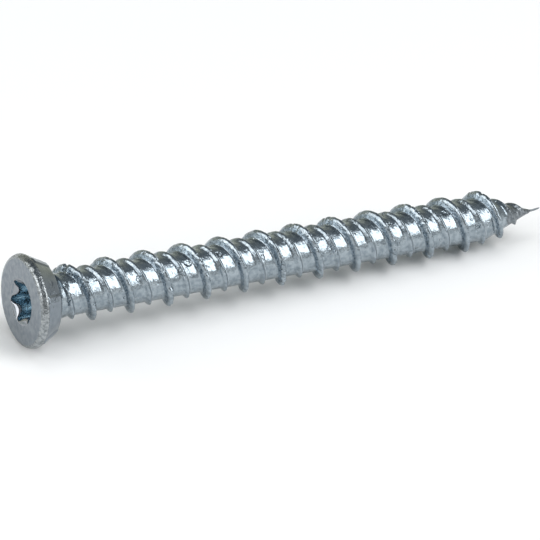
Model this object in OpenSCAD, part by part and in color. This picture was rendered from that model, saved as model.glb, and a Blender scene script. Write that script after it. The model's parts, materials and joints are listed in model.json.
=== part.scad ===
// Countersunk concrete screw with a six-lobed recess and a high-low double thread, lying as it rests.
// It is drawn upright from the head's flat face at z = 0 to the point, then laid down along X.

/* [Overall] */
// Length from the flat face of the head to the end of the point
screw_l = 73; // [50:1:120]

/* [Head] */
// Diameter of the head at its rim
head_d = 11.7; // [11:0.1:13]
// Diameter of the flat face, up to its soft edge
face_d = 11.2; // [9:0.1:11.4]
// Radius of the soft edge round the flat face
edge_r = 0.45; // [0.1:0.05:0.6]
// Depth of the rim under the flat face
rim_h = 0.8; // [0.6:0.05:1.5]
// Diameter where the seat cone ends
seat_d = 9.15; // [8.2:0.05:10]
// Height of the seat cone
seat_h = 2.37; // [1.8:0.01:3.5]
// Radius of the soft corner at the end of the seat cone
shoulder_r = 0.4; // [0.1:0.05:0.5]
// Height of the shoulder between the seat cone and the neck
shoulder_h = 0.85; // [0.6:0.05:1.5]
// Diameter of the neck where it leaves the shoulder
neck_d = 5.94; // [5.7:0.02:6.6]
// Slope of the neck down to the core, in degrees
neck_slope = 12; // [8:1:25]

/* [Driver recess] */
// Size across the six lobes
recess_d = 5.6; // [5:0.05:6.2]
// Size across the hollows between the lobes
recess_waist_d = 3.95; // [3.6:0.05:4.2]
// Radius of each lobe
lobe_r = 0.46; // [0.3:0.02:0.5]
// Depth of the straight lobes
recess_depth = 2.9; // [2:0.1:3.4]
// Depth of the cone at the foot of the recess
recess_foot = 0.8; // [0.3:0.1:1.2]
// Diameter at the bottom of that cone
recess_foot_d = 1; // [0.4:0.1:2]
// Width of the lead-in cone round the lobes, at the flat face
mouth_w = 0.1; // [0.05:0.05:0.3]
// Depth at which the lead-in cone reaches the hollows
mouth_h = 0.4; // [0.2:0.05:0.8]
// Turn of the first lobe away from the underside, in degrees
recess_turn = 7; // [0:1:59]

/* [Under-head ribs] */
// Number of cutting ribs, the first of them on the underside
rib_count = 6; // [3:1:8]
// Width of each rib
rib_w = 1.5; // [1:0.1:1.8]
// Height of each rib over the seat cone
rib_h = 0.12; // [0.1:0.02:0.4]
// Gap between the rim and the start of each rib
rib_gap = 0.15; // [0.1:0.05:0.2]

/* [Thread] */
// Outside diameter of the high thread
thread_d = 7.4; // [6.8:0.1:8]
// Outside diameter of the low thread
low_thread_d = 6.3; // [5.8:0.1:6.6]
// Diameter of the core between the threads
core_d = 5.3; // [4.6:0.1:5.6]
// Axial advance of each thread in one turn
lead = 5.24; // [4.6:0.02:6]
// Width of the high thread at the core
high_base_w = 1.45; // [1:0.05:1.8]
// Width of the high thread's crest
high_crest_w = 0.5; // [0.2:0.05:0.8]
// Width of the low thread at the core
low_base_w = 0.9; // [0.6:0.05:1.2]
// Width of the low thread's crest
low_crest_w = 0.24; // [0.1:0.02:0.4]
// Depth of a high crest on the underside, in the turn under the head
thread_start = 4.26; // [3:0.02:8]

/* [Point] */
// Length of the cone
point_l = 7.35; // [5:0.05:12]
// Share of the cone that the threads cross at full height
full_share = 0.2; // [0.05:0.05:0.6]
// Length of the thin needle at the end of the cone
needle_l = 1.4; // [0.5:0.1:3]
// Diameter of the needle where it leaves the cone
needle_d = 0.28; // [0.1:0.02:0.6]

/* [Hidden] */
zinc = [0.72, 0.75, 0.78];
overlap = 0.2;
corner_steps = 6;
head_facets = 96;
recess_facets = 48;
lobe_facets = 24;

// Depths along the head, from the flat face
head_r = head_d / 2;
seat_r = seat_d / 2;
neck_r = neck_d / 2;
core_r = core_d / 2;
seat_end = rim_h + seat_h;
neck_top = seat_end + shoulder_h;
neck_sink = (neck_r - core_r + overlap) / tan(neck_slope);
seat_run = (head_r - seat_r) / seat_h;

// Recess: each hollow is an arc that runs a hair into the lobes on both sides, so that the arcs cross
lobe_count = 6;
lobe_step = 360 / lobe_count;
lobe_at = recess_d / 2 - lobe_r;
waist_r = recess_waist_d / 2;
half_cos = cos(lobe_step / 2);
lobe_bite = 0.003;
touch_r = lobe_r - lobe_bite;
hollow_r = (touch_r ^ 2 - lobe_at ^ 2 - waist_r ^ 2 + 2 * lobe_at * waist_r * half_cos)
    / (2 * (waist_r - lobe_at * half_cos - touch_r));
hollow_at = waist_r + hollow_r;

// Thread form over one lead: axial offset from the middle of the high crest, and height over the core
high_h = (thread_d - core_d) / 2;
low_h = (low_thread_d - core_d) / 2;
form = concat(ridge(0, high_base_w, high_crest_w, high_h), ridge(lead / 2, low_base_w, low_crest_w, low_h));
form_n = len(form);
steps = 30;
last_gap = 0.2;
needle_r = needle_d / 2;
cone_end = screw_l - needle_l;
first_crest = thread_start - lead * (ceil(thread_start / lead) + 1);
form_count = form_n * ceil((screw_l - first_crest) / lead + 1);

// Rib: its outer corner, which stands a little proud of the rim
rib_from = rim_h + rib_gap;
rib_from_r = head_r - rib_gap * seat_run;
rib_top = rib_from + rib_h;
rib_top_r = rib_from_r + rib_h;

// Rest: the first rib and one side of the last full high crest on the underside touch the ground
full_to = cone_end - point_l * (1 - full_share);
rest_crest = thread_start + lead * floor((full_to - thread_start) / lead) + high_crest_w / 2;
rest_r = thread_d / 2 * cos(180 / steps);
rest_tilt = atan((rib_top_r - rest_r) / (rest_crest - rib_top));
rest_up = rib_top_r * cos(rest_tilt) + rib_top * sin(rest_tilt);
middle_x = (screw_l * cos(rest_tilt) - face_d / 2 * sin(rest_tilt)) / 2;

// Four corners of one thread ridge
function ridge(middle, base_w, crest_w, h) = [
    [middle - base_w / 2, 0],
    [middle - crest_w / 2, h],
    [middle + crest_w / 2, h],
    [middle + base_w / 2, 0]
];

// A corner of an outline, rounded between its two neighbours
function unit(v) = v / norm(v);
function round_corner(before, corner, after, r) =
    let (
        u = unit(before - corner),
        v = unit(after - corner),
        half = acos(u * v) / 2,
        centre = corner + unit(u + v) * r / sin(half),
        start = corner + u * r / tan(half) - centre,
        end = corner + v * r / tan(half) - centre,
        from = atan2(start[1], start[0]),
        turn = atan2(start[0] * end[1] - start[1] * end[0], start * end)
    )
    [
        for (i = [0 : corner_steps])
            let (a = from + turn * i / corner_steps)
            centre + r * [cos(a), sin(a)]
    ];

// Share of the cone still ahead of a depth s, 1 all along the shank
function ahead(s) = min(1, (cone_end - s) / point_l);
function surface_r(s, h) =
    needle_r + (core_r - needle_r) * ahead(s) + h * min(1, ahead(s) / (1 - full_share));

// Column k stands half a step round from the underside, so that the screw lies on a side and not on an edge
function turn(k) = (k + 0.5) / steps;

// Corner m of the thread form, counted through all turns, in column k
function corner_s(m, k) = first_crest + lead * (floor(m / form_n) + turn(k)) + form[m % form_n][0];
function corner_h(m) = form[m % form_n][1];
function on_ring(s, h, k) =
    let (r = surface_r(s, h), a = 360 * turn(k))
    [r * cos(a), r * sin(a), s];

// Height of the thread form at a depth s
function form_height(s, k) =
    let (x = (s - first_crest) / lead - turn(k) - form[0][0] / lead)
    lookup((x - floor(x)) * lead + form[0][0], form);

// Closed surface of core, threads and point. Each column holds a foot point at depth top, the corners of
// the thread form and a root point where the needle leaves the cone.
module threaded_shank(top) {
    columns = [
        for (k = [0 : steps - 1]) [
            for (m = [0 : form_count])
                let (s = corner_s(m, k))
                if (s > top + overlap / 2 && s < cone_end - last_gap) m
        ]
    ];
    function begin(k) = k == 0 ? 0 : begin(k - 1) + 2 + len(columns[k - 1]);
    begins = [for (k = [0 : steps - 1]) begin(k)];
    tip = begin(steps);
    centre = tip + 1;

    // The column after the last is the first one, a whole turn on
    function first(k) = columns[k % steps][0] - (k < steps ? 0 : form_n);
    function last(k) = first(k) + len(columns[k % steps]) - 1;
    function foot(k) = begins[k % steps];
    function at(m, k) = foot(k) + 1 + m - first(k);
    function root(k) = at(last(k), k) + 1;

    points = concat(
        [
            for (k = [0 : steps - 1])
                each concat(
                    [on_ring(top, form_height(top, k), k)],
                    [for (m = columns[k]) on_ring(corner_s(m, k), corner_h(m), k)],
                    [on_ring(cone_end, 0, k)]
                )
        ],
        [[0, 0, screw_l], [0, 0, top]]
    );
    faces = [
        for (k = [0 : steps - 1])
            each concat(
                [[centre, foot(k), foot(k + 1)]],
                [[foot(k), at(first(k), k), foot(k + 1)]],
                [[foot(k + 1), at(first(k), k), at(first(k + 1), k + 1)]],
                [
                    for (m = [first(k + 1) : 1 : first(k) - 1])
                        [at(m, k + 1), at(first(k), k), at(m + 1, k + 1)]
                ],
                [
                    for (m = [first(k) : 1 : last(k + 1) - 1])
                        each [
                            [at(m, k), at(m + 1, k), at(m + 1, k + 1)],
                            [at(m, k), at(m + 1, k + 1), at(m, k + 1)]
                        ]
                ],
                [[at(last(k + 1), k), root(k + 1), at(last(k + 1), k + 1)]],
                [for (m = [last(k + 1) : 1 : last(k) - 1]) [at(m, k), at(m + 1, k), root(k + 1)]],
                [[at(last(k), k), root(k), root(k + 1)]],
                [[root(k), tip, root(k + 1)]]
            )
    ];
    polyhedron(points, faces);
}

// Countersunk head, with a neck that sinks into the core.
// Its seam lies between two ribs and clear of the thread columns.
module head() {
    face_corner = [face_d / 2, 0];
    rim = [head_r, rim_h];
    seat_corner = [seat_r, seat_end];
    neck_corner = [neck_r, neck_top];
    rotate(180 / rib_count + 90 / steps)
        rotate_extrude($fn = head_facets)
            polygon(concat(
                [[0, 0]],
                round_corner([0, 0], face_corner, rim, edge_r),
                [rim],
                round_corner(rim, seat_corner, neck_corner, shoulder_r),
                [neck_corner, [core_r - overlap, neck_top + neck_sink], [0, neck_top + neck_sink]]
            ));
}

// Cutting ribs along the seat cone
module ribs() {
    for (i = [0 : rib_count - 1])
        rotate(i * 360 / rib_count)
            rotate([90, 0, 0])
                linear_extrude(rib_w, center = true)
                    polygon([
                        [rib_from_r - overlap, rib_from],
                        [rib_top_r, rib_top],
                        [seat_r + rib_h, seat_end],
                        [seat_r - shoulder_r, seat_end + rib_h],
                        [neck_r, seat_end - overlap]
                    ]);
}

// Six-lobed recess with a lead-in cone at its mouth and another cone at its foot.
// The seams of the two cones lie clear of the lobes.
module recess() {
    mouth_r = recess_d / 2 + mouth_w;
    mouth_run = (mouth_r - waist_r) / mouth_h;
    rotate(recess_turn) {
        translate([0, 0, -overlap])
            linear_extrude(recess_depth + overlap)
                lobed_outline();
        rotate(lobe_step / 3) {
            translate([0, 0, -overlap])
                cylinder(
                    h = mouth_h + 2 * overlap,
                    r1 = mouth_r + overlap * mouth_run,
                    r2 = waist_r - overlap * mouth_run,
                    $fn = recess_facets
                );
            translate([0, 0, recess_depth])
                cylinder(h = recess_foot, r1 = waist_r, r2 = recess_foot_d / 2, $fn = recess_facets);
        }
    }
}

module lobed_outline() {
    middles = [
        for (i = [0 : lobe_count - 1])
            let (a = i * lobe_step, b = a + lobe_step / 2)
            each [lobe_at * [cos(a), sin(a)], hollow_at * [cos(b), sin(b)]]
    ];
    difference() {
        polygon(middles);
        for (i = [0 : lobe_count - 1])
            translate(middles[2 * i + 1])
                circle(r = hollow_r, $fn = recess_facets);
    }
    for (i = [0 : lobe_count - 1])
        translate(middles[2 * i])
            circle(r = lobe_r, $fn = lobe_facets);
}

module concrete_screw() {
    color(zinc)
        translate([-middle_x, 0, rest_up])
            rotate([0, 90 + rest_tilt, 0])
                difference() {
                    union() {
                        head();
                        ribs();
                        threaded_shank(seat_end);
                    }
                    recess();
                }
}

concrete_screw();
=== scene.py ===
"""Looks of a zinc-plated concrete screw.

One fine mesh of head, recess, ribs, double thread and point, in a plain studio.
"""

import json
import math

import bmesh
import bpy
from mathutils import Matrix, Vector, noise


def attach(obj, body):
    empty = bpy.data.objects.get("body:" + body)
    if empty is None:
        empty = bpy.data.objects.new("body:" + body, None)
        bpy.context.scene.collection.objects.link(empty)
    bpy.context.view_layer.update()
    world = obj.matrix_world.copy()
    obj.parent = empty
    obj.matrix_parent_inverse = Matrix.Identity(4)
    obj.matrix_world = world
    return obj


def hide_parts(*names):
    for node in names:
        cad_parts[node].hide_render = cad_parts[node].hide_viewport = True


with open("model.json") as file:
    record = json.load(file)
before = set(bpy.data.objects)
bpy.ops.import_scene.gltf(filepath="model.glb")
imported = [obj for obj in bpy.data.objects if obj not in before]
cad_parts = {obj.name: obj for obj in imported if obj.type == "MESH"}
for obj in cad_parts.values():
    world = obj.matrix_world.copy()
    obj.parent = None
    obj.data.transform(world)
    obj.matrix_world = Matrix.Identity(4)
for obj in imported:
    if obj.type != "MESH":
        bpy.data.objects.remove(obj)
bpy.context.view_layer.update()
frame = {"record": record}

# Sizes are in millimetres, and depths are counted from the head's face.
# They follow the CAD source, with softer edges and with narrower crests and ribs.
MM = 0.001
SCREW_L = 73.0

# Head, seat cone and neck
HEAD_R = 5.85
FACE_R = 5.6
EDGE_R = 0.65
RIM_H = 0.8
RIM_EDGE_R = 0.4
SEAT_R = 4.575
SEAT_END = 3.17
SHOULDER_R = 0.4
NECK_R = 2.97
NECK_TOP = 4.02
NECK_ROUND_R = 0.3
NECK_END = 6.47
NECK_END_R = 2.45

# The head is sunk a little to stay inside the CAD's box, and its face is wavy within that
HEAD_SINK = 0.006
FACE_WAVE = 0.006
FACE_WAVE_PACE = 1.1

# Cutting ribs on the seat cone
RIB_COUNT = 6
RIB_W = 0.9
RIB_H = 0.12
RIB_FROM = 0.95
RIB_SIDE_W = 0.12
RIB_SIDE_OUT = 0.08

# Six-lobed recess
LOBE_COUNT = 6
LOBE_OUT = 2.8
LOBE_R = 0.46
WAIST_R = 1.975
RECESS_DEPTH = 2.9
RECESS_FOOT = 0.8
FOOT_R = 0.5
MOUTH_R = 2.84
MOUTH_H = 0.44
MOUTH_SINK = 0.02
RECESS_TURN = math.radians(7)

# Core and threads. The sides are the ridge's half widths towards the head and towards the point.
CORE_R = 2.65
LEAD = 5.24
THREAD_START = 4.26
HIGH_H = 1.04
HIGH_SIDES = (0.65, 0.52)
HIGH_CREST_W = 0.34
LOW_H = 0.5
LOW_SIDES = (0.47, 0.31)
LOW_CREST_W = 0.16
LOW_SHIFT = -0.06

# Cone point and needle. The threads keep their full height over the first share of the cone.
POINT_L = 7.35
FULL_SHARE = 0.2
LOW_FADE = 2
NEEDLE_L = 1.4
NEEDLE_R = 0.14
NEEDLE_BEND = 0.2
NEEDLE_RINGS = ((0.3, 0.95), (0.6, 0.85), (0.85, 0.7), (0.96, 0.4))
TIP_GAP = 0.02
CONE_END = SCREW_L - NEEDLE_L

# Softness of a ridge's crest and root, as shares of its height
HIGH_SOFT = (0.5, 0.25)
LOW_SOFT = (0.6, 0.25)

# Uneven threads. A wave is a pace per turn and a seed, and dents and chips have a floor before these.
SEED_SLANT = 0.37
ROUGH_WAVE = (2.3, 21.3)
ROUGH_FULL = 0.25
SWAY = 0.05
SWAY_WAVE = (5, 1.3)
ROUGH_SWAY = 0.1
ROUGH_SWAY_WAVE = (39, 5.1)
WIDTH_MEAN = 1.1
WIDTH = 0.3
WIDTH_WAVE = (8, 2.1)
FINE_WIDTH = 0.2
FINE_WIDTH_WAVE = (47, 6.2)
DENTS = (0.15, 17, 4.7)
FINE_DENTS = (0.25, 41, 8.3)
DENT_SHARE = 0.13
CHIPS = (0.05, 53, 9.6)
CHIP_SHARE = 0.4
TROUGH = 0.02
LOW_SWAY = 0.03
LOW_SWAY_WAVE = (6, 11.9)
LOW_DENTS = (0, 19, 13.1)
LOW_DENT_SHARE = 0.16

# Uneven core: sizes, and paces per millimetre
CORE_WAVES = ((0.007, 2.2), (0.004, 6))

# Fineness of the mesh
SHANK_COLUMNS = 168
HEAD_COLUMNS = 240
LEADS_BEFORE = 2
LEADS_AFTER = 1
HIGH_ZONE = 0.86
HIGH_ROWS = 14
LOW_ZONE = 0.58
LOW_ROWS = 10
CORE_ROWS = 4
MERGE_DISTANCE = 1e-8

# Finishes, in the order of the mesh's material slots
SHANK, FLANK_PAINTED_SHADE, FACE, BAND, SOCKET_PAINTED_LIGHT, SEAT, EDGE, FAR_PAINTED_LIGHT, POINT = range(9)

# Where the thread's finishes lie, from the middle of the high crest, and where the dull point starts. The
# head-side flank's darker tint is painted shade, and the lighter tint of the point-side flanks and roots is
# painted light.
FLANK_PAINTED_SHADE_ZONE = (-0.62, -0.33)
FAR_PAINTED_LIGHT_ZONES = ((0.2, 0.62), (2.62, 3.05))
POINT_FROM = 66.9
POINT_WAVE = (11, 3.3)

# Place of the screw in the frame: the centre of the head's face, and the axis from there to the point
RECESS = next(m for m in frame["record"]["mounts"] if m["name"] == "driver_recess")
FACE_CENTRE = Vector(RECESS["pos_m"])
AXIS = -Vector(RECESS["axis"]).normalized()
AWAY = Vector((0, 1, 0))
DOWN = AWAY.cross(AXIS)


def place(depth, radius, angle, lift=0.0):
    """World point at a depth, with the angle counted from the underside towards +Y."""
    across = radius * math.cos(angle) - lift
    return FACE_CENTRE + MM * (depth * AXIS + across * DOWN + radius * math.sin(angle) * AWAY)


def smooth_min(a, b, soft):
    """The smaller of two values, with a soft passage from one to the other."""
    blend = max(soft - abs(a - b), 0) / soft
    return min(a, b) - blend * blend * soft / 4


def smooth_max(a, b, soft):
    return -smooth_min(-a, -b, soft)


def ramp(x, start, end):
    """Rises from 0 to 1 as x goes from start to end."""
    return min(1, max(0, (x - start) / (end - start)))


def spread(start, end, steps):
    """Even steps from start up to, but without, end."""
    return [start + (end - start) * i / steps for i in range(steps)]


# Thread


def ridge(x, sides, crest_w, height, softs):
    """Height of a ridge at an axial distance x from its middle, with a round crest and a filleted root."""
    side = sides[0] if x < 0 else sides[1]
    rise = (side - abs(x)) / (side - crest_w / 2)
    return height * smooth_max(smooth_min(rise, 1, softs[0]), 0, softs[1])


def wander(t, pace, seed):
    """Smooth unevenness along a thread, from -1 to 1, at t turns."""
    return noise.noise(Vector((t * pace, seed, SEED_SLANT * seed)))


def peaks(t, floor, pace, seed):
    """The part of the unevenness that is over a floor."""
    return max(0, wander(t, pace, seed) - floor)


def high_ridge(x, t):
    """The high thread: a wandering, dented crest with a shallow trough and some chipped stretches."""
    rough = ramp(wander(t, *ROUGH_WAVE), 0, ROUGH_FULL)
    x += SWAY * wander(t, *SWAY_WAVE) + ROUGH_SWAY * rough * wander(t, *ROUGH_SWAY_WAVE)
    width = WIDTH_MEAN + WIDTH * wander(t, *WIDTH_WAVE)
    width += FINE_WIDTH * wander(t, *FINE_WIDTH_WAVE)
    crest_w = HIGH_CREST_W * width
    dents = peaks(t, *DENTS) + peaks(t, *FINE_DENTS)
    chips = rough * peaks(t, *CHIPS)
    height = HIGH_H * (1 - DENT_SHARE * dents - CHIP_SHARE * chips)
    trough = TROUGH * max(0, 1 - (2 * x / crest_w) ** 2)
    return ridge(x, HIGH_SIDES, crest_w, height, HIGH_SOFT) - trough


def low_ridge(x, t):
    """The low thread, with dents but no chips."""
    x += LOW_SWAY * wander(t, *LOW_SWAY_WAVE) - LOW_SHIFT
    height = LOW_H * (1 - LOW_DENT_SHARE * peaks(t, *LOW_DENTS))
    return ridge(x, LOW_SIDES, LOW_CREST_W, height, LOW_SOFT)


def thread_height(depth, angle, fade):
    """Height of both threads over the core. The low one keeps its height for longer as they fade."""
    turns = (depth - THREAD_START) / LEAD - angle / math.tau
    high_turn = round(turns)
    low_turn = math.floor(turns)
    high = high_ridge((turns - high_turn) * LEAD, high_turn + angle / math.tau)
    low = low_ridge((turns - low_turn - 0.5) * LEAD, low_turn + angle / math.tau)
    return max(fade * high, min(1, LOW_FADE * fade) * low)


def shank_radius(depth, angle):
    """Radius of the slightly uneven core, or of its cone at the point, with the threads on it."""
    ahead = ramp(CONE_END - depth, 0, POINT_L)
    core = NEEDLE_R + (CORE_R - NEEDLE_R) * ahead
    fade = min(1, ahead / (1 - FULL_SHARE))
    here = Vector((depth, core * math.cos(angle), core * math.sin(angle)))
    uneven = sum(size * noise.noise(pace * here) for size, pace in CORE_WAVES)
    return core + thread_height(depth, angle, fade) + fade * uneven


def shank_offsets():
    """Axial places of the mesh rows over one lead, closer together on the ridges."""
    middle = LEAD / 2
    return (
        spread(-HIGH_ZONE, HIGH_ZONE, HIGH_ROWS)
        + spread(HIGH_ZONE, middle - LOW_ZONE, CORE_ROWS)
        + spread(middle - LOW_ZONE, middle + LOW_ZONE, LOW_ROWS)
        + spread(middle + LOW_ZONE, LEAD - HIGH_ZONE, CORE_ROWS)
    )


def thread_finish(x):
    """Finish at an axial distance x from the high thread's middle, up to a lead on: painted shade on the
    head-side flank, painted light on the point-side flanks and roots.
    """
    if FLANK_PAINTED_SHADE_ZONE[0] < x < FLANK_PAINTED_SHADE_ZONE[1]:
        return FLANK_PAINTED_SHADE
    if any(start < x < end for start, end in FAR_PAINTED_LIGHT_ZONES):
        return FAR_PAINTED_LIGHT
    return SHANK


def shank_column(bm, depths, c):
    """Points along the screw at one angle, moved on by that angle's part of a lead."""
    angle = math.tau * c / SHANK_COLUMNS
    column = []
    for depth in depths:
        depth = min(CONE_END, max(SEAT_END, depth + LEAD * c / SHANK_COLUMNS))
        column.append(bm.verts.new(place(depth, shank_radius(depth, angle), angle)))
    return column


def add_shank(bm):
    """Core, threads, cone and needle. Rows follow the helix: the last column meets the first a lead on."""
    offsets = shank_offsets()
    count = len(offsets)
    middles = [(one + two) / 2 for one, two in zip(offsets, offsets[1:] + [LEAD - HIGH_ZONE])]
    finishes = [thread_finish(x) for x in middles]
    leads = LEADS_BEFORE + math.ceil((CONE_END - THREAD_START) / LEAD) + LEADS_AFTER
    starts = [THREAD_START + LEAD * (i - LEADS_BEFORE) for i in range(leads)]
    depths = [start + offset for start in starts for offset in offsets]
    columns = [shank_column(bm, depths, c) for c in range(SHANK_COLUMNS)]
    columns.append(columns[0][count:])
    for c, (one, two) in enumerate(zip(columns, columns[1:])):
        dull_from = POINT_FROM + wander(c / SHANK_COLUMNS, *POINT_WAVE) - LEAD * c / SHANK_COLUMNS
        for i in range(len(two) - 1):
            face = bm.faces.new((one[i], two[i], two[i + 1], one[i + 1]))
            face.material_index = POINT if depths[i] > dull_from else finishes[i % count]
    add_needle(bm, [column[-1] for column in columns[:-1]])


def add_needle(bm, ring):
    """The thin end of the point, bent a little upwards. Its rings are shares of its length and radius."""
    for share, size in NEEDLE_RINGS:
        depth = CONE_END + NEEDLE_L * share
        bend = NEEDLE_BEND * share * share
        next_ring = [
            bm.verts.new(place(depth, NEEDLE_R * size, math.tau * c / SHANK_COLUMNS, bend))
            for c in range(SHANK_COLUMNS)
        ]
        join_rings(bm, ring, next_ring, POINT)
        ring = next_ring
    tip = bm.verts.new(place(SCREW_L - TIP_GAP, 0, 0, NEEDLE_BEND))
    for one, two in zip(ring, ring[1:] + ring[:1]):
        bm.faces.new((one, two, tip)).material_index = POINT


def join_rings(bm, ring, next_ring, finish):
    """A closed strip of faces between two rings of points."""
    for i, vert in enumerate(ring):
        j = (i + 1) % len(ring)
        bm.faces.new((vert, ring[j], next_ring[j], next_ring[i])).material_index = finish


# Head: rows of depth, radius and finish. Radii, and some depths, are functions of the angle.

# Recess rows: the foot cone's middle, the floor, and the walls, whose foot is (rise over the floor, growth)
FOOT_MID_H = 0.4
FOOT_MID_R = 1.2
FLOOR_EDGE_H = 0.04
FLOOR_EDGE_IN = 0.08
FLOOR_WAIST_IN = 0.04
FLOOR_LOBES_IN = 0.06
WALL_FOOT = ((0.01, -0.05), (0.06, 0))
WALL_FOOT_GAP = 0.3
WALL_LIP_GAP = 0.4

# Mouth rows: the lip (share of the way to the mouth, sink), the cone, and the edge (depth, way out, finish)
LIP_FOOT = 0.45
LIP = ((0.02, 0.3), (0.08, 0.2), (0.18, 0.115), (0.3, 0.055), (0.43, 0.02), (0.56, 0))
CONE_SHARES = (0.75, 0.9)
MOUTH_EDGE = ((0.012, 0, EDGE), (0.003, 0.05, EDGE), (0, 0.12, FACE))

# Rows of the flat face, the band, the ribs and the neck
FLAT_MOUTH_GAP = 0.3
FLAT_EDGE_GAP = 0.05
FACE_EDGE_ROWS = 2
BAND_SHARES = (0.2, 0.4, 0.6, 0.8)
RIB_RUN_IN = 0.04
SLOPE_SHARES = (0.35, 0.7)
NECK_SHARES = (0.25, 0.5, 0.75, 1)


def circle(r):
    return lambda angle: r


def between(one, two, share):
    return lambda angle: one(angle) * (1 - share) + two(angle) * share


def arc_reach(at, r, turn, side):
    """Distance from the axis to a circle, at its far side (1) or its near side (-1)."""
    return at * math.cos(turn) + side * math.sqrt(r**2 - (at * math.sin(turn)) ** 2)


def lobed(grow=0.0):
    """The six-lobed outline: lobe arcs, joined by hollow arcs that touch them."""
    lobe_at = LOBE_OUT - LOBE_R
    half = math.pi / LOBE_COUNT
    hollow_r = (LOBE_R**2 - lobe_at**2 - WAIST_R**2 + 2 * lobe_at * WAIST_R * math.cos(half)) / (
        2 * (WAIST_R - lobe_at * math.cos(half) - LOBE_R)
    )
    hollow_at = WAIST_R + hollow_r
    hollow = Vector((math.cos(half), math.sin(half))) * hollow_at
    touch = Vector((lobe_at, 0)).lerp(hollow, LOBE_R / (LOBE_R + hollow_r))
    switch = math.atan2(touch.y, touch.x)

    def radius(angle):
        turn = abs((angle - RECESS_TURN + half) % (2 * half) - half)
        if turn < switch:
            return arc_reach(lobe_at, LOBE_R, turn, 1) + grow
        return arc_reach(hollow_at, hollow_r, half - turn, -1) + grow

    return radius


def ribbed(r, share):
    """A circle on the seat cone, raised by a share of the ribs' height where a rib crosses it."""

    def radius(angle):
        step = math.tau / RIB_COUNT
        turn = (angle + step / 2) % step - step / 2
        side = abs(r * math.sin(turn))
        top = (r + RIB_H * share) / math.cos(turn)
        return r + (top - r) * ramp(RIB_W / 2 + RIB_SIDE_OUT - side, 0, RIB_SIDE_W)

    return radius


def arc(before, corner, after, r, steps):
    """Points of a corner rounded between its two neighbours, as (depth, radius)."""
    corner = Vector(corner)
    u = (Vector(before) - corner).normalized()
    v = (Vector(after) - corner).normalized()
    half = u.angle(v) / 2
    centre = corner + (u + v).normalized() * r / math.sin(half)
    start = corner + u * r / math.tan(half) - centre
    end = corner + v * r / math.tan(half) - centre
    return [centre + r * start.slerp(end, i / steps) for i in range(steps + 1)]


def points_between(one, two, shares):
    return [one.lerp(two, share) for share in shares]


def round_rows(points, finish):
    """Circular rows through points of (depth, radius)."""
    return [(p.x, circle(p.y), finish) for p in points]


def ledge(share, below):
    """Depth and radius at a share of the way from the lobes to the mouth, sunk below the lead-in cone."""
    outline = lobed()
    width = MOUTH_R - WAIST_R
    drop = MOUTH_H * (1 - share) + below

    def depth(angle):
        return MOUTH_SINK + drop * (MOUTH_R - outline(angle)) / width

    return depth, between(outline, circle(MOUTH_R), share)


def socket_rows():
    """The recess's foot cone, its floor's soft corner and its lobed walls, in the lighter zinc that carries
    painted light.
    """
    foot = RECESS_DEPTH + RECESS_FOOT
    floor_edge = (RECESS_DEPTH + FLOOR_EDGE_H, WAIST_R - FLOOR_EDGE_IN)
    cone = ((foot, FOOT_R), (foot - FOOT_MID_H, FOOT_MID_R), floor_edge)
    floor = between(circle(WAIST_R - FLOOR_WAIST_IN), lobed(-FLOOR_LOBES_IN), 0.5)
    walls = spread(RECESS_DEPTH - WALL_FOOT_GAP, MOUTH_H + WALL_LIP_GAP, steps=6)
    rows = [(depth, circle(r), SOCKET_PAINTED_LIGHT) for depth, r in cone]
    rows.append((RECESS_DEPTH, floor, SOCKET_PAINTED_LIGHT))
    rows += [(RECESS_DEPTH - rise, lobed(grow), SOCKET_PAINTED_LIGHT) for rise, grow in WALL_FOOT]
    return rows + [(depth, lobed(), SOCKET_PAINTED_LIGHT) for depth in walls]


def mouth_rows():
    """The recess's round lip, its lead-in cone and the edge of its mouth."""
    rows = [(*ledge(0, LIP_FOOT), SOCKET_PAINTED_LIGHT)]
    rows += [(*ledge(share, below), EDGE) for share, below in LIP]
    rows += [(*ledge(share, 0), FACE) for share in CONE_SHARES]
    return rows + [(depth, circle(MOUTH_R + out), finish) for depth, out, finish in MOUTH_EDGE]


def rim_rows():
    """The flat face, its soft edge, the rough band and the rim."""
    face_edge = arc((0, 0), (0, FACE_R), (RIM_H, HEAD_R), EDGE_R, steps=6)
    rim_edge = arc((0, FACE_R), (RIM_H, HEAD_R), (SEAT_END, SEAT_R), RIM_EDGE_R, steps=4)
    flat = spread(MOUTH_R + FLAT_MOUTH_GAP, face_edge[0].y - FLAT_EDGE_GAP, steps=8)
    band = points_between(face_edge[-1], rim_edge[0], BAND_SHARES)
    rows = [(0, circle(r), FACE) for r in flat]
    rows += round_rows(face_edge[:FACE_EDGE_ROWS], FACE)
    return rows + round_rows(face_edge[FACE_EDGE_ROWS:] + band + rim_edge, BAND)


def seat_rows():
    """The seat cone with its ribs, the shoulder and the neck, which sinks into the core."""
    rim = Vector((RIM_H, HEAD_R))
    seat = Vector((SEAT_END, SEAT_R))
    neck_end = Vector((NECK_END, NECK_END_R))
    rib_top = RIB_FROM + RIB_H
    shoulder = arc(rim, seat, (NECK_TOP, NECK_R), SHOULDER_R, steps=8)
    neck = arc(seat, (NECK_TOP, NECK_R), neck_end, NECK_ROUND_R, steps=6)
    run_in = spread(RIB_FROM - RIB_RUN_IN, rib_top, steps=5)
    rows = []
    for depth in run_in + spread(rib_top, shoulder[0].x, steps=10):
        p = rim.lerp(seat, (depth - RIM_H) / (SEAT_END - RIM_H))
        rows.append((p.x, ribbed(p.y, ramp(depth, RIB_FROM, rib_top)), SEAT))
    for i, p in enumerate(shoulder):
        rows.append((p.x, ribbed(p.y, 1 - ramp(i, 1, len(shoulder) - 2)), SEAT))
    rows += round_rows(points_between(shoulder[-1], neck[0], SLOPE_SHARES), SEAT)
    return rows + round_rows(neck + points_between(neck[-1], neck_end, NECK_SHARES), SHANK)


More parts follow.
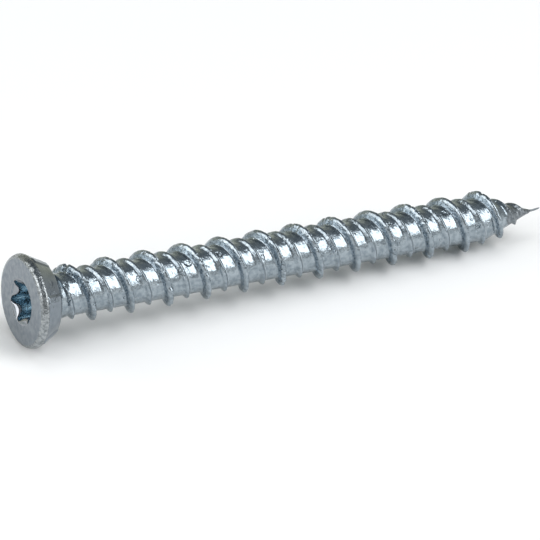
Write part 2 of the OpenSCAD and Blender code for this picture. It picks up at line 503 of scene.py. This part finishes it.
def head_ring(bm, depth, radius, finish):
    """One ring of points, sunk a little, and wavy on the face."""
    ring = []
    for c in range(HEAD_COLUMNS):
        angle = math.tau * c / HEAD_COLUMNS
        r = radius(angle)
        s = depth(angle) if callable(depth) else depth
        sink = HEAD_SINK
        if finish == FACE:
            here = Vector((s, r * math.cos(angle), r * math.sin(angle)))
            sink += FACE_WAVE * noise.noise(FACE_WAVE_PACE * here)
        ring.append(bm.verts.new(place(s + sink, r, angle)))
    return ring


def add_head(bm):
    """One polar grid from the foot of the recess over the face and the rim to the neck."""
    ring = None
    for depth, radius, finish in socket_rows() + mouth_rows() + rim_rows() + seat_rows():
        next_ring = head_ring(bm, depth, radius, finish)
        if ring:
            join_rings(bm, ring, next_ring, finish)
        else:
            bm.faces.new(reversed(next_ring)).material_index = finish
        ring = next_ring


def screw_mesh():
    bm = bmesh.new()
    add_shank(bm)
    add_head(bm)
    bmesh.ops.remove_doubles(bm, verts=bm.verts, dist=MERGE_DISTANCE)
    bmesh.ops.triangulate(bm, faces=[f for f in bm.faces if len(f.verts) > 4])
    for face in bm.faces:
        face.smooth = True
    mesh = bpy.data.meshes.new("screw")
    bm.to_mesh(mesh)
    bm.free()
    return mesh


# Shader nodes


def noise_node(nodes, links, coords, scale, detail):
    node = nodes.new("ShaderNodeTexNoise")
    node.inputs["Scale"].default_value = scale
    node.inputs["Detail"].default_value = detail
    links.new(coords.outputs["Object"], node.inputs["Vector"])
    return node


def range_node(nodes, links, value, source, target):
    node = nodes.new("ShaderNodeMapRange")
    node.inputs["From Min"].default_value = source[0]
    node.inputs["From Max"].default_value = source[1]
    node.inputs["To Min"].default_value = target[0]
    node.inputs["To Max"].default_value = target[1]
    links.new(value, node.inputs["Value"])
    return node


def colour_node(nodes, links, value, stops):
    """Colours by a value, from stops of (value, colour)."""
    node = nodes.new("ShaderNodeValToRGB")
    elements = node.color_ramp.elements
    while len(elements) < len(stops):
        elements.new(0.5)
    for element, (position, colour) in zip(elements, stops):
        element.position = position
        element.color = (*colour, 1)
    links.new(value, node.inputs["Fac"])
    return node


def bump_node(nodes, links, height, depth):
    node = nodes.new("ShaderNodeBump")
    node.inputs["Strength"].default_value = 1
    node.inputs["Distance"].default_value = depth
    links.new(height, node.inputs["Height"])
    return node


# Zinc finishes. Noise scales are per metre, and bump depths in metres.

TINT_RANGE = (0.35, 0.65)
GLOSS_RANGE = (0.3, 0.7)
GLOSS_PACE = 2.7
NICK_SCALE = 650
NICK_RANGE = (0.62, 0.7)


def zinc(name, dark, light, rough, blotch, grain, grain_depth, nick_depth):
    """Zinc plating with a blotchy tint, uneven gloss, a grain and sparse nicks."""
    material = bpy.data.materials.new(name)
    material.use_nodes = True
    nodes, links = material.node_tree.nodes, material.node_tree.links
    shader = nodes["Principled BSDF"]
    shader.inputs["Metallic"].default_value = 1
    coords = nodes.new("ShaderNodeTexCoord")

    blotches = noise_node(nodes, links, coords, blotch, detail=4)
    stops = ((TINT_RANGE[0], dark), (TINT_RANGE[1], light))
    tint = colour_node(nodes, links, blotches.outputs["Fac"], stops)
    links.new(tint.outputs["Color"], shader.inputs["Base Color"])

    patches = noise_node(nodes, links, coords, blotch * GLOSS_PACE, detail=3)
    gloss = range_node(nodes, links, patches.outputs["Fac"], GLOSS_RANGE, rough)
    links.new(gloss.outputs["Result"], shader.inputs["Roughness"])

    grains = noise_node(nodes, links, coords, grain, detail=3)
    bump = bump_node(nodes, links, grains.outputs["Fac"], grain_depth)
    spots = noise_node(nodes, links, coords, NICK_SCALE, detail=3)
    pits = range_node(nodes, links, spots.outputs["Fac"], NICK_RANGE, (1, 0))
    nicks = bump_node(nodes, links, pits.outputs["Result"], nick_depth)
    links.new(bump.outputs["Normal"], nicks.inputs["Normal"])
    links.new(nicks.outputs["Normal"], shader.inputs["Normal"])
    return material


def shank_zinc():
    return zinc(
        "zinc_shank", dark=(0.24, 0.285, 0.32), light=(0.385, 0.44, 0.48), rough=(0.14, 0.3),
        blotch=1800, grain=1900, grain_depth=0.00008, nick_depth=0.0001,
    )


# Darker, bluer zinc for the head-side flanks of the high thread: painted shade.
def flank_zinc_painted_shade():
    return zinc(
        "zinc_flank_painted_shade", dark=(0.14, 0.185, 0.225), light=(0.3, 0.362, 0.415), rough=(0.18, 0.34),
        blotch=3000, grain=3400, grain_depth=0.0001, nick_depth=0.00012,
    )


def face_zinc():
    return zinc(
        "zinc_face", dark=(0.225, 0.255, 0.285), light=(0.305, 0.335, 0.365), rough=(0.32, 0.46),
        blotch=1600, grain=5000, grain_depth=0.000022, nick_depth=0.00003,
    )


def band_zinc():
    return zinc(
        "zinc_band", dark=(0.19, 0.21, 0.22), light=(0.395, 0.42, 0.433), rough=(0.16, 0.32),
        blotch=2600, grain=3600, grain_depth=0.00008, nick_depth=0.00005,
    )


# Lighter, bluer zinc for the recess: painted light that makes up for the shade inside it.
def socket_zinc_painted_light():
    return zinc(
        "zinc_socket_painted_light", dark=(0.36, 0.47, 0.54), light=(0.48, 0.6, 0.67), rough=(0.16, 0.3),
        blotch=1500, grain=3000, grain_depth=0.00002, nick_depth=0.00002,
    )


def seat_zinc():
    return zinc(
        "zinc_seat", dark=(0.2, 0.23, 0.26), light=(0.26, 0.295, 0.325), rough=(0.12, 0.2),
        blotch=900, grain=4200, grain_depth=0.00001, nick_depth=0.00003,
    )


def edge_zinc():
    return zinc(
        "zinc_edge", dark=(0.28, 0.295, 0.32), light=(0.35, 0.365, 0.39), rough=(0.12, 0.2),
        blotch=1500, grain=3000, grain_depth=0.00001, nick_depth=0.00001,
    )


# Lighter, bluer zinc for the point-side flanks and roots of both ridges: painted light that lifts their
# shade.
def far_zinc_painted_light():
    return zinc(
        "zinc_far_painted_light", dark=(0.32, 0.37, 0.405), light=(0.42, 0.475, 0.515), rough=(0.25, 0.4),
        blotch=3000, grain=3400, grain_depth=0.00006, nick_depth=0.00006,
    )


def point_zinc():
    return zinc(
        "zinc_point", dark=(0.14, 0.16, 0.176), light=(0.285, 0.312, 0.334), rough=(0.25, 0.45),
        blotch=3000, grain=3000, grain_depth=0.0001, nick_depth=0.0001,
    )


# In the order of the finishes' numbers
FINISHES = (
    shank_zinc, flank_zinc_painted_shade, face_zinc, band_zinc, socket_zinc_painted_light, seat_zinc, edge_zinc, far_zinc_painted_light, point_zinc,
)

# Camera: the photograph's view, with the pixel at which the centre of the head's face lies
IMAGE_PX = 540
FOCAL_PX = 5567
HEAD_PX = (20.7, 302.2)
VIEW_DISTANCE = 0.6667
VIEW_AZIMUTH = math.radians(-28.506)
VIEW_ELEVATION = math.radians(32.347)
VIEW_ROLL = math.radians(4.145)
SENSOR_MM = 36.0
CLIP_START = 0.01
CLIP_END = 20


def add_camera():
    """A long lens from the head's side, turned so that the head's face lies at its pixel."""
    data = bpy.data.cameras.new("camera")
    data.sensor_width = SENSOR_MM
    data.lens = SENSOR_MM * FOCAL_PX / IMAGE_PX
    data.clip_start = CLIP_START
    data.clip_end = CLIP_END
    camera = bpy.data.objects.new("camera", data)
    bpy.context.scene.collection.objects.link(camera)
    bpy.context.scene.camera = camera
    level = math.cos(VIEW_ELEVATION)
    back = Vector((
        math.sin(VIEW_AZIMUTH) * level,
        -math.cos(VIEW_AZIMUTH) * level,
        math.sin(VIEW_ELEVATION),
    ))
    turn = (-back).to_track_quat("-Z", "Y").to_matrix() @ Matrix.Rotation(VIEW_ROLL, 3, "Z")
    pan = math.atan((IMAGE_PX / 2 - HEAD_PX[0]) / FOCAL_PX)
    tilt = math.atan((HEAD_PX[1] - IMAGE_PX / 2) / FOCAL_PX)
    turn = turn @ Matrix.Rotation(-pan, 3, "Y") @ Matrix.Rotation(tilt, 3, "X")
    camera.matrix_world = Matrix.Translation(FACE_CENTRE + VIEW_DISTANCE * back) @ turn.to_4x4()


# Floor, lamps and walls
FLOOR_HALF = 3.0
FLOOR_COLOUR = (0.95, 0.95, 0.95, 1)
FLOOR_ROUGHNESS = 0.9


def add_floor():
    half = FLOOR_HALF
    corners = [(-half, -half, 0), (half, -half, 0), (half, half, 0), (-half, half, 0)]
    mesh = bpy.data.meshes.new("floor")
    mesh.from_pydata(corners, [], [(0, 1, 2, 3)])
    floor = bpy.data.objects.new("floor", mesh)
    bpy.context.scene.collection.objects.link(floor)
    material = bpy.data.materials.new("floor")
    material.use_nodes = True
    shader = material.node_tree.nodes["Principled BSDF"]
    shader.inputs["Base Color"].default_value = FLOOR_COLOUR
    shader.inputs["Roughness"].default_value = FLOOR_ROUGHNESS
    shader.inputs["Specular IOR Level"].default_value = 0
    mesh.materials.append(material)


def add_panel(name, towards, distance, width, height, power, mirrored):
    """A soft lamp that faces the screw. Only a mirrored one shows in the metal."""
    data = bpy.data.lights.new(name, "AREA")
    data.shape = "RECTANGLE"
    data.size = width
    data.size_y = height
    data.energy = power
    lamp = bpy.data.objects.new(name, data)
    bpy.context.scene.collection.objects.link(lamp)
    towards = Vector(towards).normalized()
    lamp.location = towards * distance
    lamp.rotation_mode = "QUATERNION"
    lamp.rotation_quaternion = towards.to_track_quat("Z", "Y")
    lamp.visible_glossy = mirrored


def add_lamps():
    add_panel(
        "key", towards=(0.45, -0.52, 0.726), distance=0.6,
        width=0.34, height=0.66, power=2.58, mirrored=True,
    )
    add_panel(
        "top", towards=(0, 0.2, 0.98), distance=0.8,
        width=0.5, height=0.5, power=1.45, mirrored=False,
    )
    add_panel(
        "side", towards=(-0.868, 0.107, 0.485), distance=0.6,
        width=0.8, height=0.3, power=2.05, mirrored=True,
    )


# Colours of the walls by height, from the horizon to overhead
FRONT_WALLS = (
    (0, (0.67, 0.68, 0.67)),
    (0.2, (0.6, 0.61, 0.6)),
    (0.5, (0.28, 0.295, 0.3)),
    (0.85, (0.2, 0.23, 0.255)),
)
BACK_WALLS = (
    (0, (0.72, 0.725, 0.6)),
    (0.2, (0.64, 0.645, 0.535)),
    (0.5, (0.29, 0.3, 0.28)),
    (0.85, (0.2, 0.23, 0.255)),
)
BACK_RANGE = (0.1, 0.5)
HEAD_SIDE_RANGE = (-0.75, -0.3)
HEAD_SIDE_STRENGTH = (0.55, 1)


def add_world():
    """Studio walls: pale at the horizon, olive behind the screw, dark overhead and on the head's side."""
    world = bpy.data.worlds.new("studio")
    bpy.context.scene.world = world
    world.use_nodes = True
    nodes, links = world.node_tree.nodes, world.node_tree.links
    coords = nodes.new("ShaderNodeTexCoord")
    parts = nodes.new("ShaderNodeSeparateXYZ")
    links.new(coords.outputs["Generated"], parts.inputs["Vector"])
    front = colour_node(nodes, links, parts.outputs["Z"], FRONT_WALLS)
    back = colour_node(nodes, links, parts.outputs["Z"], BACK_WALLS)
    behind = range_node(nodes, links, parts.outputs["Y"], BACK_RANGE, (0, 1))
    walls = nodes.new("ShaderNodeMixRGB")
    links.new(behind.outputs["Result"], walls.inputs["Fac"])
    links.new(front.outputs["Color"], walls.inputs["Color1"])
    links.new(back.outputs["Color"], walls.inputs["Color2"])
    links.new(walls.outputs["Color"], nodes["Background"].inputs["Color"])
    shade = range_node(nodes, links, parts.outputs["X"], HEAD_SIDE_RANGE, HEAD_SIDE_STRENGTH)
    links.new(shade.outputs["Result"], nodes["Background"].inputs["Strength"])


# Scene

mesh = screw_mesh()
for finish in FINISHES:
    mesh.materials.append(finish())
screw = bpy.data.objects.new("screw", mesh)
bpy.context.scene.collection.objects.link(screw)
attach(screw, "root")
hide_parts("concrete_screw")

bpy.context.scene.view_settings.view_transform = "Standard"
add_camera()
add_floor()
add_world()
add_lamps()
